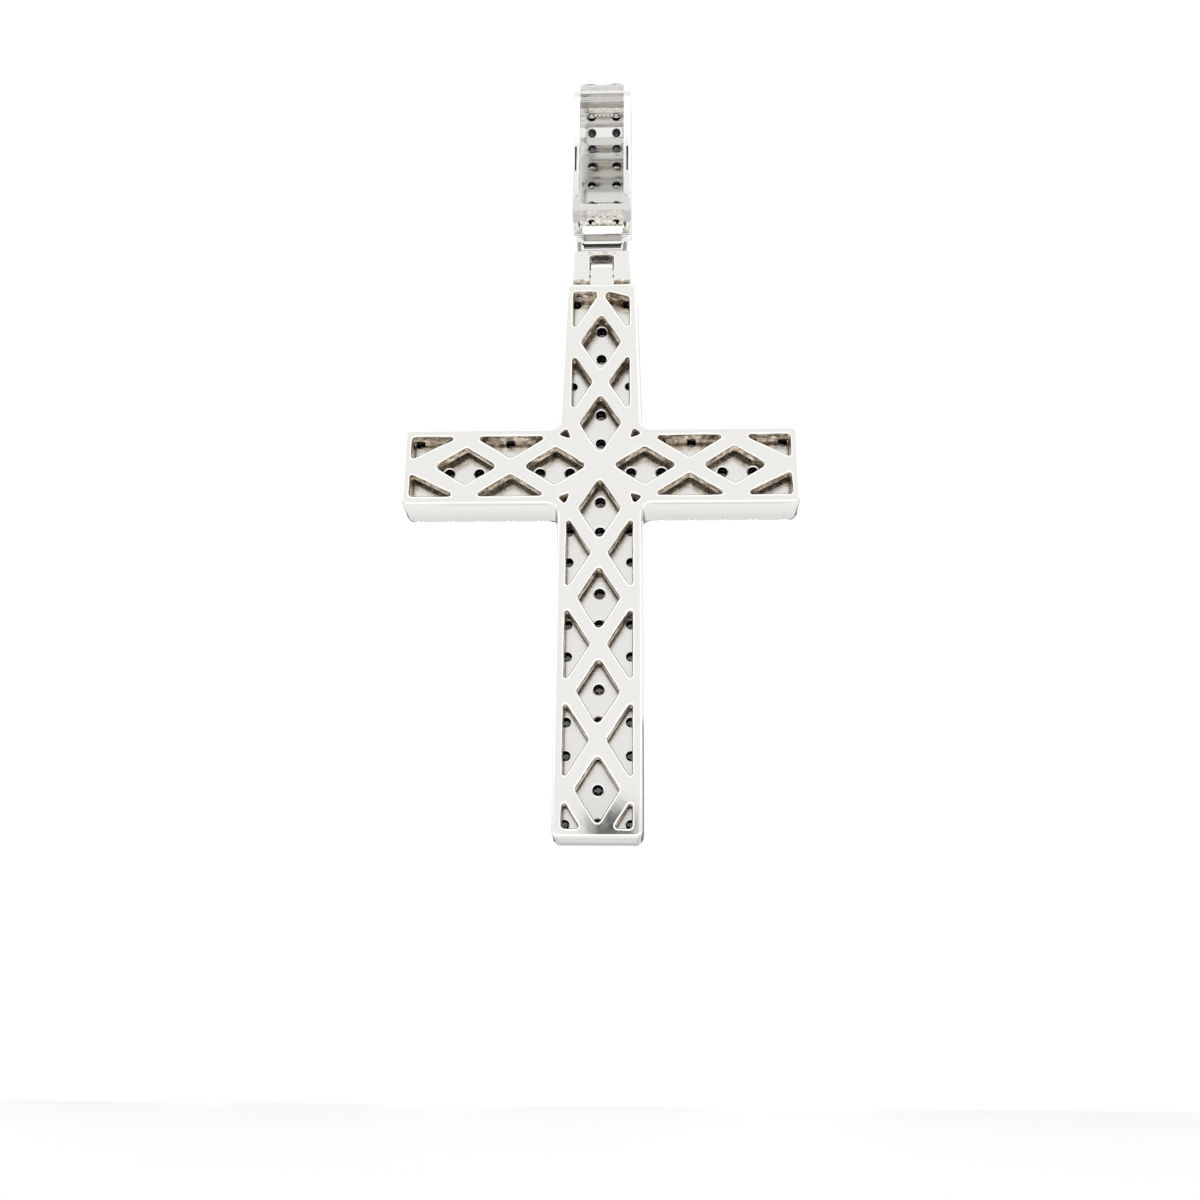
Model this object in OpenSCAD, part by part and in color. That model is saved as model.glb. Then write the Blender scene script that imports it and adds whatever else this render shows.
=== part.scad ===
// Cross pendant on a two-hinge bail, in millimetres. The stones face -Y and the pierced back faces +Y.
// The origin is where a chain carries the bail: the top of the loop's inside, midway across it.

/* [Cross] */
// Pitch of the stone rows, along the upright bar
row_pitch = 2.0; // [1.9:0.05:2.2]
// Pitch of the stone columns, along the arms
col_pitch = 1.9; // [1.85:0.05:1.95]
// Width of both bars at the back
bar_w = 5.15; // [5.1:0.05:5.3]
// Width of the upright bar at its top, where it narrows
top_w = 4.55; // [4.5:0.05:5.1]
// Depth from the pierced back to the front plate's face
depth = 2.7; // [2.5:0.1:3.2]
// Depth of the hollow, from the back down to the front plate
recess = 1.2; // [1.1:0.05:1.3]
// Thickness of the side walls
wall = 0.45; // [0.4:0.05:0.55]
// How far the front edge stands out beyond the walls
lip = 0.08; // [0.06:0.02:0.12]

/* [Pierced back] */
// Thickness of the pierced back
lattice_t = 0.7; // [0.5:0.05:0.8]
// Length of one cell of the pattern along the upright bar
upright_cell = 5.76; // [5.6:0.02:5.9]
// Length of one cell of the pattern along the arms
arm_cell = 5.54; // [5.4:0.02:5.6]
// Width of the crossing strips
strip_w = 0.9; // [0.7:0.05:1.0]
// How far the strips' centre lines reach sideways before they turn back
reach = 1.8; // [1.7:0.05:1.9]
// Width across the openings, between the edge strips
open_w = 4.0; // [3.9:0.05:4.1]
// The same in the narrowing top of the upright bar
top_open_w = 3.6; // [3.5:0.05:3.7]
// How far the upper edge of one top opening sags at its outer corner
sag = 0.4; // [0:0.05:0.5]

/* [Stones] */
// Diameter of the stones of the cross
stone_d = 1.3; // [1.1:0.05:1.35]
// Diameter of the stones of the bail
bail_stone_d = 1.0; // [0.9:0.05:1.05]
// Diameter of the holes that are drilled through behind the stones
azure_d = 0.6; // [0.4:0.05:0.7]

/* [Bail] */
// Outer radius of the loop's round ends
loop_r = 2.8; // [2.7:0.05:3.0]
// Thickness of the loop, from its inside to its rails' outside
loop_t = 0.6; // [0.5:0.05:0.7]
// Width of the loop, along the chain
loop_w = 3.85; // [3.7:0.05:4.0]
// Width of each side rail
rail_w = 0.47; // [0.4:0.01:0.5]
// Distance between the centres of the loop's round ends
loop_straight = 5.3; // [5.0:0.1:5.6]
// Height that the stone-set front stands above the rails
plate_rise = 0.4; // [0.3:0.05:0.45]

/* [Hinges] */
// Distance from the pin in the tongue to the pin in the bail
hinge_pitch = 2.4; // [2.3:0.05:2.5]
// Distance from the cross's top up to the pin in its tongue
neck_h = 1.4; // [1.35:0.05:1.5]
// Width of the link
link_w = 3.75; // [3.6:0.05:3.85]
// Width of the tongue
tongue_w = 1.44; // [1.3:0.02:1.5]
// Radial running clearance of the pins in their bores
pin_gap = 0.05; // [0.03:0.01:0.08]

/* [Hidden] */
metal = "gainsboro";
diamond = "azure";
$fn = 48;
far = 20;
sides = [-1, 1];

// Stone grid of the cross: rows above and below the crossing, columns to each side
rows_up = 6;
rows_down = 11;
cols_side = 6;
end_margin = 0.9;
arm_margin = 0.85;
up = rows_up * row_pitch + end_margin;
down = rows_down * row_pitch + end_margin;
arm = cols_side * col_pitch + arm_margin;

// Stones and their seats
sink = 0.12;
seat_gap = 0.03;
seat_step = 0.08;
seat_cone = 0.4;
facets = 8;

// Pierced back
inner = open_w / 2;
inner_top = top_open_w / 2;
top_rail = 0.58;
bottom_rail = 0.56;
end_rail = 0.5;
post_half = 0.32;
end_bar = 0.5;
sharp_r = 0.12;
blunt_r = 0.2;

// Bail
loop_in = loop_r - loop_t;
plate_r = loop_r + plate_rise;
top_c = -loop_in;
low_c = top_c - loop_straight;
loop_low = low_c - loop_r;
plate_half = 1.45;
plate_end = 16;
plate_start = -27;
cover_start = 11;
gallery_bar = 45;
gallery_bar_w = 0.42;
gallery_w = 2.7;
gallery_r = 0.35;
skirt = 12;
stone_x = 0.85;
bail_row = 1.6;
rows_over = 4;
rows_under = 4;
first_over = 0.7;

// Hinges: the upper pin turns in the bail's knuckle, the lower pin in the cross's tongue
knuckle_r = 0.42;
knuckle_w = 2.5;
upper_pin_r = 0.2;
lower_pin_r = 0.3;
pin_inset = 0.1;
ear_r = 0.5;
ear_gap = 0.1;
side_gap = 0.07;
link_t = 1.7;
link_end_r = neck_h - 0.1;
upper_z = loop_low - ear_r;
lower_z = upper_z - hinge_pitch;
shoulder_z = upper_z - 1.26;
slot_top = lower_z + 0.85;
slot_r = 0.28;
guard_z = upper_z - 0.4;
guard_y = -0.1;
guard_gap = 0.08;
tongue_r = 0.72;
tongue_round = 0.4;
tongue_root = 0.3;

// The cross hangs below the lower pin, its back a little behind the pins
cross_top = lower_z - neck_h;
cross_z = cross_top - up;
back_y = 1.05;
front_y = back_y - depth;

// A polygon whose corners are rounded, each to its own radius
function unit(v) = v / norm(v);
function corner_arc(before, at, after, r, steps) =
    let (u = unit(before - at), w = unit(after - at), half = acos(u * w) / 2)
    let (centre = at + unit(u + w) * r / sin(half))
    let (from = at + u * r / tan(half) - centre, to = at + w * r / tan(half) - centre)
    let (start = atan2(from[1], from[0]), turn = (atan2(to[1], to[0]) - start + 540) % 360 - 180)
    [for (k = [0:steps]) centre + r * [cos(start + turn * k / steps), sin(start + turn * k / steps)]];
function rounded(pts, radii, steps = 3) =
    let (n = len(pts))
    [for (i = [0:n - 1]) each corner_arc(pts[(i + n - 1) % n], pts[i], pts[(i + 1) % n], radii[i], steps)];

// Points turned to the other side, and points with their two numbers swapped
function flipped(pts, side) = [for (p = pts) [p[0] * side, p[1]]];
function swapped(pts) = [for (p = pts) [p[1], p[0]]];

// Outline of the cross in X and Z about the crossing, grown by g
function outline(g, outer_r, fillet_r) =
    let (h = bar_w / 2 + g, t = top_w / 2 + g, a = arm + g)
    rounded(
        [[t, up + g], [-t, up + g], [-h, h], [-a, h], [-a, -h], [-h, -h],
         [-h, -down - g], [h, -down - g], [h, -h], [a, -h], [a, h], [h, h]],
        [outer_r, outer_r, fillet_r, outer_r, outer_r, fillet_r,
         outer_r, outer_r, fillet_r, outer_r, outer_r, fillet_r]);

// Half the upright bar's width at a height above the crossing
function half_width(z) = bar_w / 2 - (bar_w - top_w) / 2 * max(0, z - bar_w / 2) / (up - bar_w / 2);

// Pierced pattern: strips run zigzag along a bar, and the openings are what they leave.
// Points are [across the bar, along the bar], and a cell is one zigzag long.
function strip_run(cell) = norm([reach, cell / 2]);
function strip_along(cell) = strip_w / 2 * strip_run(cell) / reach;
function strip_across(cell) = strip_w / 2 * strip_run(cell) / (cell / 2);
function side_half(cell, rail) = (rail - strip_across(cell)) * cell / 2 / reach;
function diamond_opening(cell, n) =
    let (middle = (n + 0.5) * cell, a = reach - strip_across(cell), b = cell / 2 - strip_along(cell))
    rounded([[a, middle], [0, middle + b], [-a, middle], [0, middle - b]], [blunt_r, blunt_r, blunt_r, blunt_r]);
function side_opening(cell, n, rail) =
    let (b = side_half(cell, rail))
    rounded([[strip_across(cell), n * cell], [rail, n * cell - b], [rail, n * cell + b]],
            [blunt_r, sharp_r, sharp_r]);
function top_opening(drop) =
    let (low = 2 * upright_cell, high = up - top_rail, across = strip_across(upright_cell))
    rounded([[inner_top, low - side_half(upright_cell, inner_top)], [inner_top, high - drop], [post_half, high],
             [post_half, low + (across - post_half) * upright_cell / 2 / reach]],
            [sharp_r, blunt_r, blunt_r, 0.08]);
function bottom_opening() =
    let (node_z = -4 * upright_cell, low = -down + bottom_rail, across = strip_across(upright_cell))
    rounded([[inner, low], [inner, node_z + side_half(upright_cell, inner)],
             [across + (low - node_z) * reach / (upright_cell / 2), low]],
            [blunt_r, sharp_r, sharp_r]);
function arm_end_opening() =
    let (last = arm - end_rail)
    rounded([[inner, 2 * arm_cell - side_half(arm_cell, inner)], [inner, last], [end_bar, last]],
            [sharp_r, blunt_r, sharp_r]);
function corner_opening(sx, sz) =
    let (c = cos(45), near = 2.65, wide = 3.3, half = 0.3)
    let (pts = rounded([[near, 0], [wide, half], [wide, -half]], [0.06, 0.1, 0.1]))
    [for (p = pts) [sx * (p[0] - p[1]) * c, sz * (p[0] + p[1]) * c]];

openings = concat(
    [for (n = [-4:1]) diamond_opening(upright_cell, n)],
    [for (n = [-3:-1], s = sides) flipped(side_opening(upright_cell, n, inner), s)],
    [for (s = sides) flipped(side_opening(upright_cell, 1, inner_top), s)],
    [for (s = sides) flipped(top_opening(s < 0 ? sag : 0), s)],
    [for (s = sides) flipped(bottom_opening(), s)],
    [for (n = [-2:1]) swapped(diamond_opening(arm_cell, n))],
    [for (n = [-1, 1], s = sides) swapped(flipped(side_opening(arm_cell, n, inner), s))],
    [for (s = sides, e = sides) [for (p = arm_end_opening()) [p[1] * e, p[0] * s]]],
    [for (sx = sides, sz = sides) corner_opening(sx, sz)]);

// Places of the stones of the cross, in X and Z about the crossing. The outer columns follow the edge.
function column_x(z) = col_pitch - (bar_w / 2 - half_width(z));
upright_cells = [for (i = [-1:1], j = [-rows_down:rows_up]) [i * column_x(j * row_pitch), j * row_pitch]];
arm_cells = [for (s = sides, i = [2:cols_side], j = [-1:1]) [s * i * col_pitch, j * row_pitch]];
cross_cells = concat(upright_cells, arm_cells);

// Places of the stones of the bail: [x, y, z, lean]. A row's distance s runs up the front and over the
// top, and is zero where the upper round end begins.
function bail_row_at(s) =
    s >= 0
        ? let (lean = s / plate_r * 180 / PI) [-plate_r * cos(lean), top_c + plate_r * sin(lean), lean]
        : s >= -loop_straight
            ? [-plate_r, top_c + s, 0]
            : let (lean = (s + loop_straight) / plate_r * 180 / PI)
              [-plate_r * cos(lean), low_c + plate_r * sin(lean), lean];
bail_cells = [for (k = [-rows_under:rows_over], s = sides)
    let (row = bail_row_at(first_over + k * bail_row))
    [s * stone_x, row[0], row[1], row[2]]];

// A slab with an outline in X and Z about the crossing, from y forwards by t
module slab(pts, y, t) {
    translate([0, y, cross_z]) rotate([90, 0, 0]) linear_extrude(t) polygon(pts);
}

// An upright block with its two upper corners rounded, its top at z, seen along Y
module arched(w, z, r, h) {
    translate([0, far / 2, z]) rotate([90, 0, 0]) linear_extrude(far)
        polygon(rounded([[w / 2, -h], [w / 2, 0], [-w / 2, 0], [-w / 2, -h]], [0.01, r, r, 0.01], 6));
}

// A profile in Y and Z, drawn out along X and centred on it
module along_x(w) {
    rotate([90, 0, 90]) linear_extrude(w, center = true) children();
}

module rod(z, r, w) {
    translate([0, 0, z]) rotate([0, 90, 0]) cylinder(h = w, r = r, center = true);
}

// A cut stone, table up, with the top of its girdle at z = 0
function stone_level(r, z) = [for (k = [0:facets - 1]) [r * cos(k * 360 / facets), r * sin(k * 360 / facets), z]];
function stone_band(upper, lower) = [for (k = [0:facets - 1])
    [upper + k, upper + (k + 1) % facets, lower + (k + 1) % facets, lower + k]];
module stone(d) {
    table = stone_level(0.28 * d, 0.16 * d);
    girdle = stone_level(0.5 * d, 0);
    under = stone_level(0.5 * d, -0.03 * d);
    tip = 3 * facets;
    polyhedron(
        concat(table, girdle, under, [[0, 0, -0.46 * d]]),
        concat(
            [[for (k = [0:facets - 1]) facets - 1 - k]],
            stone_band(0, facets),
            stone_band(facets, 2 * facets),
            [for (k = [0:facets - 1]) [2 * facets + k, 2 * facets + (k + 1) % facets, tip]]));
}

// The seat of a stone of diameter d, cut in from z = through, with the drilled hole behind it from z = 0
module seat(d, through) {
    floor_z = through - sink - seat_step;
    cylinder(h = through, r = azure_d / 2);
    translate([0, 0, floor_z - seat_cone]) cylinder(h = seat_cone, r1 = azure_d / 2, r2 = d / 2 + seat_gap);
    translate([0, 0, floor_z]) cylinder(h = 0.5 + sink + seat_step, r = d / 2 + seat_gap);
}

module on_cross(p, y) {
    translate([p[0], y, cross_z + p[1]]) rotate([90, 0, 0]) children();
}

module on_bail(cell, below) {
    translate([cell[0], cell[1], cell[2]]) rotate([90 - cell[3], 0, 0]) translate([0, 0, -below]) children();
}

// Side profile of the loop: two round ends joined by straight sides
module stadium(r) {
    translate([0, top_c]) circle(r);
    translate([0, low_c]) circle(r);
    translate([-r, low_c]) square([2 * r, loop_straight]);
}

module ring_profile(outer_r, inner_r) {
    difference() {
        stadium(outer_r);
        stadium(inner_r);
    }
}

// The stretch of the ring at the back, from an angle at the upper end round to one at the lower end
module back_stretch(top_angle, low_angle) {
    polygon([[0, top_c], [0, top_c] + far * [cos(top_angle), sin(top_angle)], [far, low_c - far],
             [0, low_c] + far * [cos(low_angle), sin(low_angle)], [0, low_c]]);
}

// A wedge of the ring about one of its round ends
module wedge(z, from, to) {
    translate([0, z]) polygon([[0, 0], far * [cos(from), sin(from)], far * [cos(to), sin(to)]]);
}

// The cross: hollow behind its stone-set front, closed by the pierced back, with a tongue for the hinge
module cross_body() color(metal) {
    edge_h = 0.35;
    difference() {
        union() {
            slab(outline(0, 0.35, 0.6), back_y, depth - edge_h);
            slab(outline(lip, 0.55, 0.55), front_y + edge_h, edge_h);
            intersection() {
                along_x(tongue_w) {
                    translate([0, lower_z]) circle(tongue_r);
                    translate([-tongue_r, cross_top - tongue_root]) square([2 * tongue_r, neck_h + tongue_root]);
                }
                arched(tongue_w, lower_z + tongue_r, tongue_round, far);
            }
        }
        slab(outline(-wall, 0.2, 0.9), back_y - lattice_t, recess - lattice_t);
        for (o = openings) slab(o, back_y + 1, lattice_t + 1.05);
        for (p = cross_cells) on_cross(p, back_y - recess + 0.1) seat(stone_d, depth - recess + 0.1);
        rod(lower_z, lower_pin_r + pin_gap, tongue_w + 1);
    }
}

module cross_diamonds() color(diamond) {
    for (p = cross_cells) on_cross(p, front_y + sink) stone(stone_d);
}

// The link: two ears at the bottom take the cross's tongue, two at the top take the bail's knuckle.
// Its pins are soldered into its ears.
module bail_link() color(metal) {
    lower_slot = tongue_w + 2 * side_gap;
    upper_slot = knuckle_w + 2 * side_gap;
    difference() {
        along_x(link_w) {
            intersection() {
                translate([0, lower_z]) circle(link_end_r);
                translate([-link_t / 2, lower_z - far]) square([link_t, far]);
            }
            translate([-link_t / 2, lower_z]) square([link_t, shoulder_z - lower_z]);
            polygon([[-link_t / 2, shoulder_z], [link_t / 2, shoulder_z], [ear_r, upper_z - 0.3],
                     [ear_r, upper_z], [-ear_r, upper_z], [-ear_r, upper_z - 0.3]]);
            translate([0, upper_z]) circle(ear_r);
        }
        arched(lower_slot, slot_top, slot_r, far);
        // The upper slot is open behind the knuckle and guarded in front of it
        along_x(upper_slot) difference() {
            translate([-far / 2, shoulder_z]) square([far, far]);
            difference() {
                translate([guard_y - far, shoulder_z - 1]) square([far, guard_z - shoulder_z + 1]);
                translate([0, upper_z]) circle(knuckle_r + guard_gap);
            }
        }
    }
    rod(lower_z, lower_pin_r, link_w - pin_inset);
    rod(upper_z, upper_pin_r, link_w - pin_inset);
}

// The bail: side rails all round, a stone-set plate up the front and over the top, two bars across the
// open back, and a knuckle below for the link's upper pin
module bail_loop() color(metal) {
    between = loop_w - 2 * rail_w + 0.1;
    bore_len = plate_r - loop_in + 0.1;
    difference() {
        union() {
            for (s = sides) translate([s * (loop_w - rail_w) / 2, 0, 0]) along_x(rail_w) ring_profile(loop_r, loop_in);
            along_x(between) difference() {
                ring_profile(loop_r, loop_in);
                back_stretch(plate_end, -90 + skirt);
            }
            along_x(2 * plate_half) difference() {
                ring_profile(plate_r, loop_r - 0.05);
                back_stretch(plate_end, 180 - plate_start);
            }
            along_x(between) intersection() {
                ring_profile(loop_r, loop_in);
                union() {
                    wedge(top_c, cover_start, plate_end + 1);
                    translate([0, low_c]) rotate(-gallery_bar)
                        translate([0, -gallery_bar_w / 2]) square([far, gallery_bar_w]);
                }
            }
            rod(upper_z, knuckle_r, knuckle_w);
            translate([-knuckle_w / 2, -knuckle_r, upper_z]) cube([knuckle_w, 2 * knuckle_r, ear_r + 0.3]);
        }
        for (cell = bail_cells) on_bail(cell, bore_len) seat(bail_stone_d, bore_len);
        rod(upper_z, upper_pin_r + pin_gap, knuckle_w + 1);
        for (s = sides) translate([s * (knuckle_w / 2 + side_gap / 2 + 1), 0, 0]) rod(upper_z, ear_r + ear_gap, 2);
        intersection() {
            along_x(gallery_w) intersection() {
                ring_profile(loop_r + 1, loop_in - 0.3);
                wedge(low_c, -90 + skirt - 6, -gallery_bar - 5);
            }
            arched(gallery_w, low_c - loop_in * sin(gallery_bar + 5), gallery_r, far);
        }
    }
}

module bail_diamonds() color(diamond) {
    for (cell = bail_cells) on_bail(cell, sink) stone(bail_stone_d);
}

cross_body();
cross_diamonds();
bail_link();
bail_loop();
bail_diamonds();
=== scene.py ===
# %% [markdown]
# # A diamond cross pendant
# This lesson dresses a finished solid model of a pendant: a cast white gold cross with a pierced back,
# a hinged link, and an oblong bail for the chain. The solids give every size and hinge. What is left is
# what a jeweller does at the bench: soften the edges, polish, set the stones and light the piece.

# %% Load the frame
import math
import bpy
import bmesh
from mathutils import Matrix, Vector, noise


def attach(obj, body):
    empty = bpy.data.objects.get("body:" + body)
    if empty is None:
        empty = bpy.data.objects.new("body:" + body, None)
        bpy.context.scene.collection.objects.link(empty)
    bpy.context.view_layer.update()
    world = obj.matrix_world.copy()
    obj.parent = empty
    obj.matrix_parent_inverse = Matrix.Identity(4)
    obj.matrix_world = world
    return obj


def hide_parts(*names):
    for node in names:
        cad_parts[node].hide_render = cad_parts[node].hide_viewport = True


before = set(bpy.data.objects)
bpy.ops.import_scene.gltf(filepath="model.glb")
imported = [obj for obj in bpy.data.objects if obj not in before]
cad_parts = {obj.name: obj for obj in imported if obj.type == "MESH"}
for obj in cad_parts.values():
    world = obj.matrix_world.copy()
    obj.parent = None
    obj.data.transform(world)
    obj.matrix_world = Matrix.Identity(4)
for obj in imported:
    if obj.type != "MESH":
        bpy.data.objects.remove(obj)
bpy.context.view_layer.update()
MM = 0.001
print("solids:", ", ".join(sorted(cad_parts)))

# %% [markdown]
# ## The camera
# The pendant was pictured close up, from behind and from a little below. A close camera makes the lower
# end of the cross look larger than its top. Its place could be found by eye, but a fit to the row of
# drilled holes is surer. The angles are given as a photographer would say them: turned, tilted, rolled.

# %% Camera
LENS = 39.365
SENSOR = 36.0
NEAREST = 0.001
FARTHEST = 20.0
EYE = Vector((-2.964, 74.861, -61.564)) * MM
TURNED = math.radians(180 + 2.239)
TILTED = math.radians(90 + 18.867)
ROLLED = math.radians(0.479)

camera_data = bpy.data.cameras.new("camera")
camera_data.lens = LENS
camera_data.sensor_width = SENSOR
camera_data.clip_start = NEAREST
camera_data.clip_end = FARTHEST
camera = bpy.data.objects.new("camera", camera_data)
stand = Matrix.Translation(EYE) @ Matrix.Rotation(TURNED, 4, "Z")
camera.matrix_world = stand @ Matrix.Rotation(TILTED, 4, "X") @ Matrix.Rotation(ROLLED, 4, "Z")
bpy.context.scene.collection.objects.link(camera)
bpy.context.scene.camera = camera
print("camera stands", round(EYE.length / MM, 1), "mm from the chain's seat")

# %% [markdown]
# ## From solid to casting
# The solids come as loose triangles with razor-sharp edges. No casting looks like that: tumbling and
# polishing round every edge, and the round edges catch the light as thin white lines. A piece is
# therefore a copy of its solid, never the solid itself. The copy's corners are merged first and its
# flat triangles joined into whole faces, because the bevel operator needs whole faces to work on.

# %% A copy of a solid
MERGE = 0.001 * MM
FLAT = math.radians(1.0)


def solid_copy(node):
    """A solid's mesh with its corners merged and its flat triangles joined."""
    bm = bmesh.new()
    bm.from_mesh(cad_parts[node].data)
    bmesh.ops.remove_doubles(bm, verts=bm.verts, dist=MERGE)
    bmesh.ops.dissolve_limit(bm, angle_limit=FLAT, verts=bm.verts, edges=bm.edges)
    print(node, "copied with", len(bm.faces), "whole faces")
    return bm


# %% [markdown]
# Only outward edges are rolled, and only those that a test picks. Several radii are used, because a
# polisher's wheel reaches the outside edges far better than the edges inside an opening.

# %% Rolled edges
SHARP = math.radians(32)
LEVEL = 0.002 * MM


def roll_edges(bm, radius, steps, chosen):
    """Rolls the sharp outward edges that the test picks."""
    edges = []
    for edge in bm.edges:
        if edge.is_manifold and edge.calc_face_angle_signed() > SHARP and chosen(edge):
            edges.append(edge)
    bmesh.ops.bevel(bm, geom=edges, offset=radius, offset_type="OFFSET", segments=steps, profile=0.5,
                    affect="EDGES", clamp_overlap=False, material=-1)
    return len(edges)


def at_depth(edge, y):
    """True if both ends of an edge lie at depth y."""
    return all(abs(v.co.y - y) < LEVEL for v in edge.verts)


# %% [markdown]
# A finished piece is an object at the origin that rides on its body, so that it swings with it. Smooth
# shading alone would blur the flat strips, so each casting also gets weighted normals: the big flat
# faces keep their direction and only the rolled edges turn. An edge is kept crisp above a limit, and
# the limit is much smaller where it borders a face that is square to the piece.

# %% Placing a piece
SOFT = math.radians(38)
CREASE = math.radians(5)
SQUARE = 0.9999
FLAT_WEIGHT = 60


def place_piece(bm, name, body, stands_for=()):
    """Makes the bmesh an object that rides on a body."""
    bm.normal_update()
    for face in bm.faces:
        face.smooth = True
    for edge in bm.edges:
        square = any(max(map(abs, face.normal)) > SQUARE for face in edge.link_faces)
        edge.smooth = edge.calc_face_angle(math.pi) < (CREASE if square else SOFT)
    mesh = bpy.data.meshes.new(name)
    bm.to_mesh(mesh)
    bm.free()
    if "custom_normal" in mesh.attributes:
        mesh.attributes.remove(mesh.attributes["custom_normal"])
    piece = bpy.data.objects.new(name, mesh)
    bpy.context.scene.collection.objects.link(piece)
    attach(piece, body)
    if stands_for:
        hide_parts(*stands_for)
    print(name, "has", len(mesh.polygons), "faces")
    return piece


def weight_normals(piece):
    """Keeps flats flat under smooth shading."""
    modifier = piece.modifiers.new("flats", "WEIGHTED_NORMAL")
    modifier.keep_sharp = True
    modifier.weight = FLAT_WEIGHT


# %% [markdown]
# ## The cross
# The cross is one casting: a pierced back over a hollow, with the stone-set plate in front. How far an
# edge is rolled depends on where it lies, so a test of what is inside the outline comes first. The
# sizes are the solid's own. The upright bar narrows a little towards its top.

# %% The outline of the cross
BACK_Y = 1.05 * MM
PLATE_Y = -0.15 * MM
FRONT_Y = -1.65 * MM
CROSS_Z = -27.5 * MM
HALF_BAR = 2.575 * MM
HALF_TOP = 2.275 * MM
UP = 12.9 * MM
DOWN = 22.9 * MM
ARM = 12.25 * MM


def half_width(z):
    """Half the width of the upright bar at a height above the crossing."""
    climb = max(0.0, z - HALF_BAR) / (UP - HALF_BAR)
    return HALF_BAR - (HALF_BAR - HALF_TOP) * climb


def within_outline(x, z, margin):
    """True if a point is inside the outline of the cross by more than the margin."""
    h = z - CROSS_Z
    in_upright = abs(x) < half_width(h) - margin and -DOWN + margin < h < UP - margin
    in_arms = abs(x) < ARM - margin and abs(h) < HALF_BAR - margin
    return in_upright or in_arms


print("the upright is", round(2 * half_width(0) / MM, 2), "mm wide at the crossing and",
      round(2 * half_width(UP) / MM, 2), "mm at its top")

# %% [markdown]
# An edge is on the outside of the cross if a short step from one of its side walls leads out of the
# outline. Every other edge of the back is the rim of an opening. The rims of the drilled holes are
# found as closed loops on the inner plate, and a hole that a wall cuts into is left as it is.

# %% Which edge is which
STEP_OUT = 0.3 * MM
SIDEWAYS = 0.5
NEAR = 0.01 * MM
TONGUE_FOOT = 0.05 * MM


def looks_out(edge):
    """True for an edge on the outside of the cross, and not in an opening or a seat."""
    for face in edge.link_faces:
        ahead = face.calc_center_median() + face.normal * STEP_OUT
        if abs(face.normal.y) < SIDEWAYS and not within_outline(ahead.x, ahead.z, 0.0):
            return True
    return False


def on_rim(edge):
    return at_depth(edge, BACK_Y) and not looks_out(edge)


def on_back_outline(edge):
    return at_depth(edge, BACK_Y) and looks_out(edge)


def on_front_outline(edge):
    return at_depth(edge, FRONT_Y) and looks_out(edge)


def on_tongue(edge):
    return all(v.co.z > CROSS_Z + UP + TONGUE_FOOT for v in edge.verts)


def meets_wall(corners):
    """True if an edge at one of these corners climbs up from the inner plate."""
    ends = [v for corner in corners for edge in corner.link_edges for v in edge.verts]
    return any(v.co.y > PLATE_Y + NEAR for v in ends)


def whole_holes(bm):
    """The rims of the drilled holes that no wall cuts into."""
    level = [edge for edge in bm.edges if at_depth(edge, PLATE_Y)]
    rims = {edge for edge in level if edge.calc_face_angle_signed() > SHARP}
    whole = set()
    while rims:
        loop = {rims.pop()}
        corners = {v for edge in loop for v in edge.verts}
        while True:
            more = {edge for v in corners for edge in v.link_edges if edge in rims}
            if not more:
                break
            rims -= more
            loop |= more
            corners |= {v for edge in more for v in edge.verts}
        if not meets_wall(corners):
            whole |= loop
    return whole


# %% [markdown]
# The solid has a small ledge where the walls meet the front. A cast wall has none: it opens gently, so
# that the wax comes out of its mould. Moving the ledge's inner corners back turns it into that flare,
# with no new faces. The faces are split into triangles first, because they don't stay flat.

# %% Flaring the walls
FACES_BACK = 0.9
UPRIGHT = 0.1


def flare_walls(bm, ledge_y, start_y):
    """Turns the small ledge behind the front edge into a gentle flare of the walls."""
    ledge = []
    for face in bm.faces:
        if face.normal.y > FACES_BACK and abs(face.calc_center_median().y - ledge_y) < LEVEL:
            ledge.append(face)
    inner = set()
    for face in ledge:
        for edge in face.edges:
            for other in edge.link_faces:
                if abs(other.normal.y) < UPRIGHT and other.calc_center_median().y > ledge_y:
                    inner.update(edge.verts)
    bmesh.ops.triangulate(bm, faces=ledge)
    for v in inner:
        v.co.y = start_y
    bm.normal_update()
    return len(inner)


# %% [markdown]
# On the real casting the openings were cleaned with a file, so their edges wander a little. A straight
# edge can't bend, so the long ones are split first. The moves come from a smooth noise of the place
# alone, which keeps neighbouring corners together. They fade to nothing towards the plate, and near
# the outline nothing moves. The noise has a seed, or else every run would file the edges differently.

# %% Edges filed by hand
OUTLINE_MARGIN = 0.25 * MM
WANDER_SCALE = 900.0
WANDER_FADE = 0.2 * MM
WANDER_SEED = 7


def split_long(bm, y, length):
    """Splits the long edges at a depth, so that they can wander later."""
    by_cuts = {}
    for edge in bm.edges:
        cuts = int(edge.calc_length() / length)
        if cuts and at_depth(edge, y) and edge.calc_face_angle(0.0) > SHARP:
            by_cuts.setdefault(cuts, []).append(edge)
    for cuts, edges in by_cuts.items():
        bmesh.ops.bisect_edges(bm, edges=edges, cuts=cuts)
    return sum(len(edges) for edges in by_cuts.values())


def hand_finish(bm, above_y, amount):
    """Lets the edges of the openings wander a little, as filed by hand."""
    noise.seed_set(WANDER_SEED)
    for v in bm.verts:
        if v.co.y > above_y and within_outline(v.co.x, v.co.z, OUTLINE_MARGIN):
            wander = noise.noise_vector(Vector((v.co.x, 0.0, v.co.z)) * WANDER_SCALE)
            rise = min(1.0, (v.co.y - above_y) / WANDER_FADE)
            v.co += Vector((wander.x, 0.0, wander.z)) * amount * rise


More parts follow.
